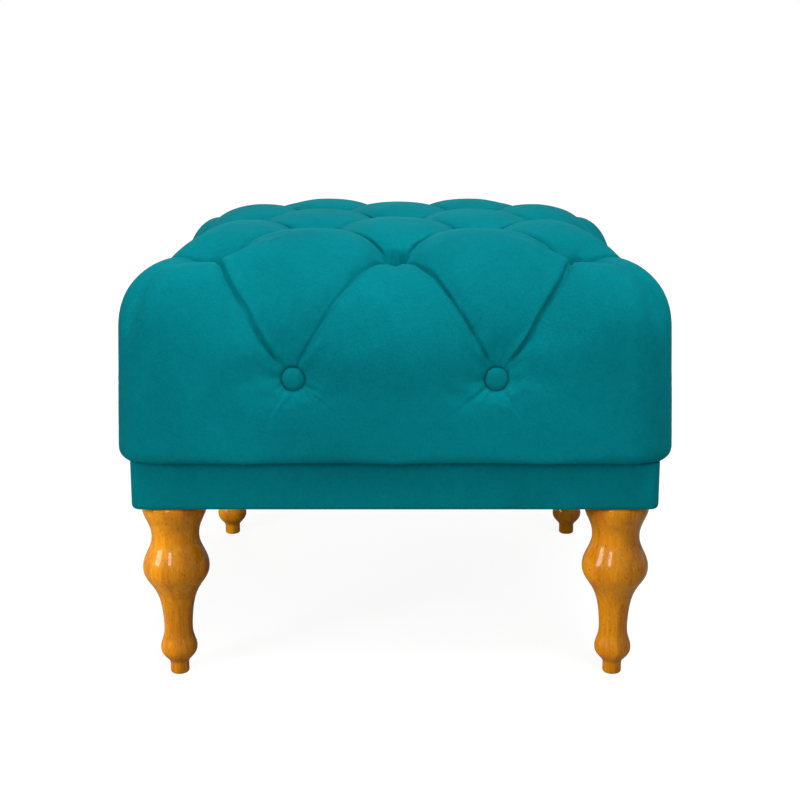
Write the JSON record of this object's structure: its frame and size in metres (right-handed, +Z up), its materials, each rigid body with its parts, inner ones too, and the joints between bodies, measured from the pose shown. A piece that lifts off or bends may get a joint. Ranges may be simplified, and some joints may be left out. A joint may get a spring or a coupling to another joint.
{
  "type": "pouf",
  "caption": "Square deep-buttoned pouf: tufted velvet cushion on a fabric-covered plinth with turned wooden legs.",
  "frame": {"origin": "on the floor, under the middle of the pouf", "axes": "+Z up; the front face looks towards -Y; +X to the right seen from the front"},
  "size_m": [0.505, 0.505, 0.4158],
  "materials": {
    "teal_velvet": "short-pile teal velvet, brushed",
    "turned_wood": "honey-stained turned hardwood under gloss lacquer",
    "frame_timber": "planed softwood, unfinished",
    "plywood": "sanded plywood",
    "toggle_wood": "plain dowel",
    "foam": "open-cell upholstery foam",
    "zinc_steel": "zinc-plated",
    "twine": "waxed tufting twine",
    "dust_cloth": "black non-woven cloth"
  },
  "bodies": {
    "root": {"front_rail": "frame_timber", "rear_rail": "frame_timber", "left_rail": "frame_timber", "right_rail": "frame_timber", "front_left_block": "frame_timber", "front_right_block": "frame_timber", "rear_left_block": "frame_timber", "rear_right_block": "frame_timber", "frame_screws": "zinc_steel", "plinth_cover": "teal_velvet", "plinth_cover_staples": "zinc_steel", "dust_cover": "dust_cloth", "dust_cover_staples": "zinc_steel", "deck_board": "plywood", "deck_screws": "zinc_steel", "foam_core": "foam", "cushion_cover": "teal_velvet", "cushion_hem_staples": "zinc_steel", "top_buttons": "teal_velvet", "front_buttons": "teal_velvet", "rear_buttons": "teal_velvet", "left_buttons": "teal_velvet", "right_buttons": "teal_velvet", "button_backs": "zinc_steel", "button_twines": "twine", "twine_toggles": "toggle_wood", "front_left_leg": "turned_wood", "front_right_leg": "turned_wood", "rear_left_leg": "turned_wood", "rear_right_leg": "turned_wood", "leg_bolts": "zinc_steel", "leg_nuts": "zinc_steel"}
  },
  "joints": []
}
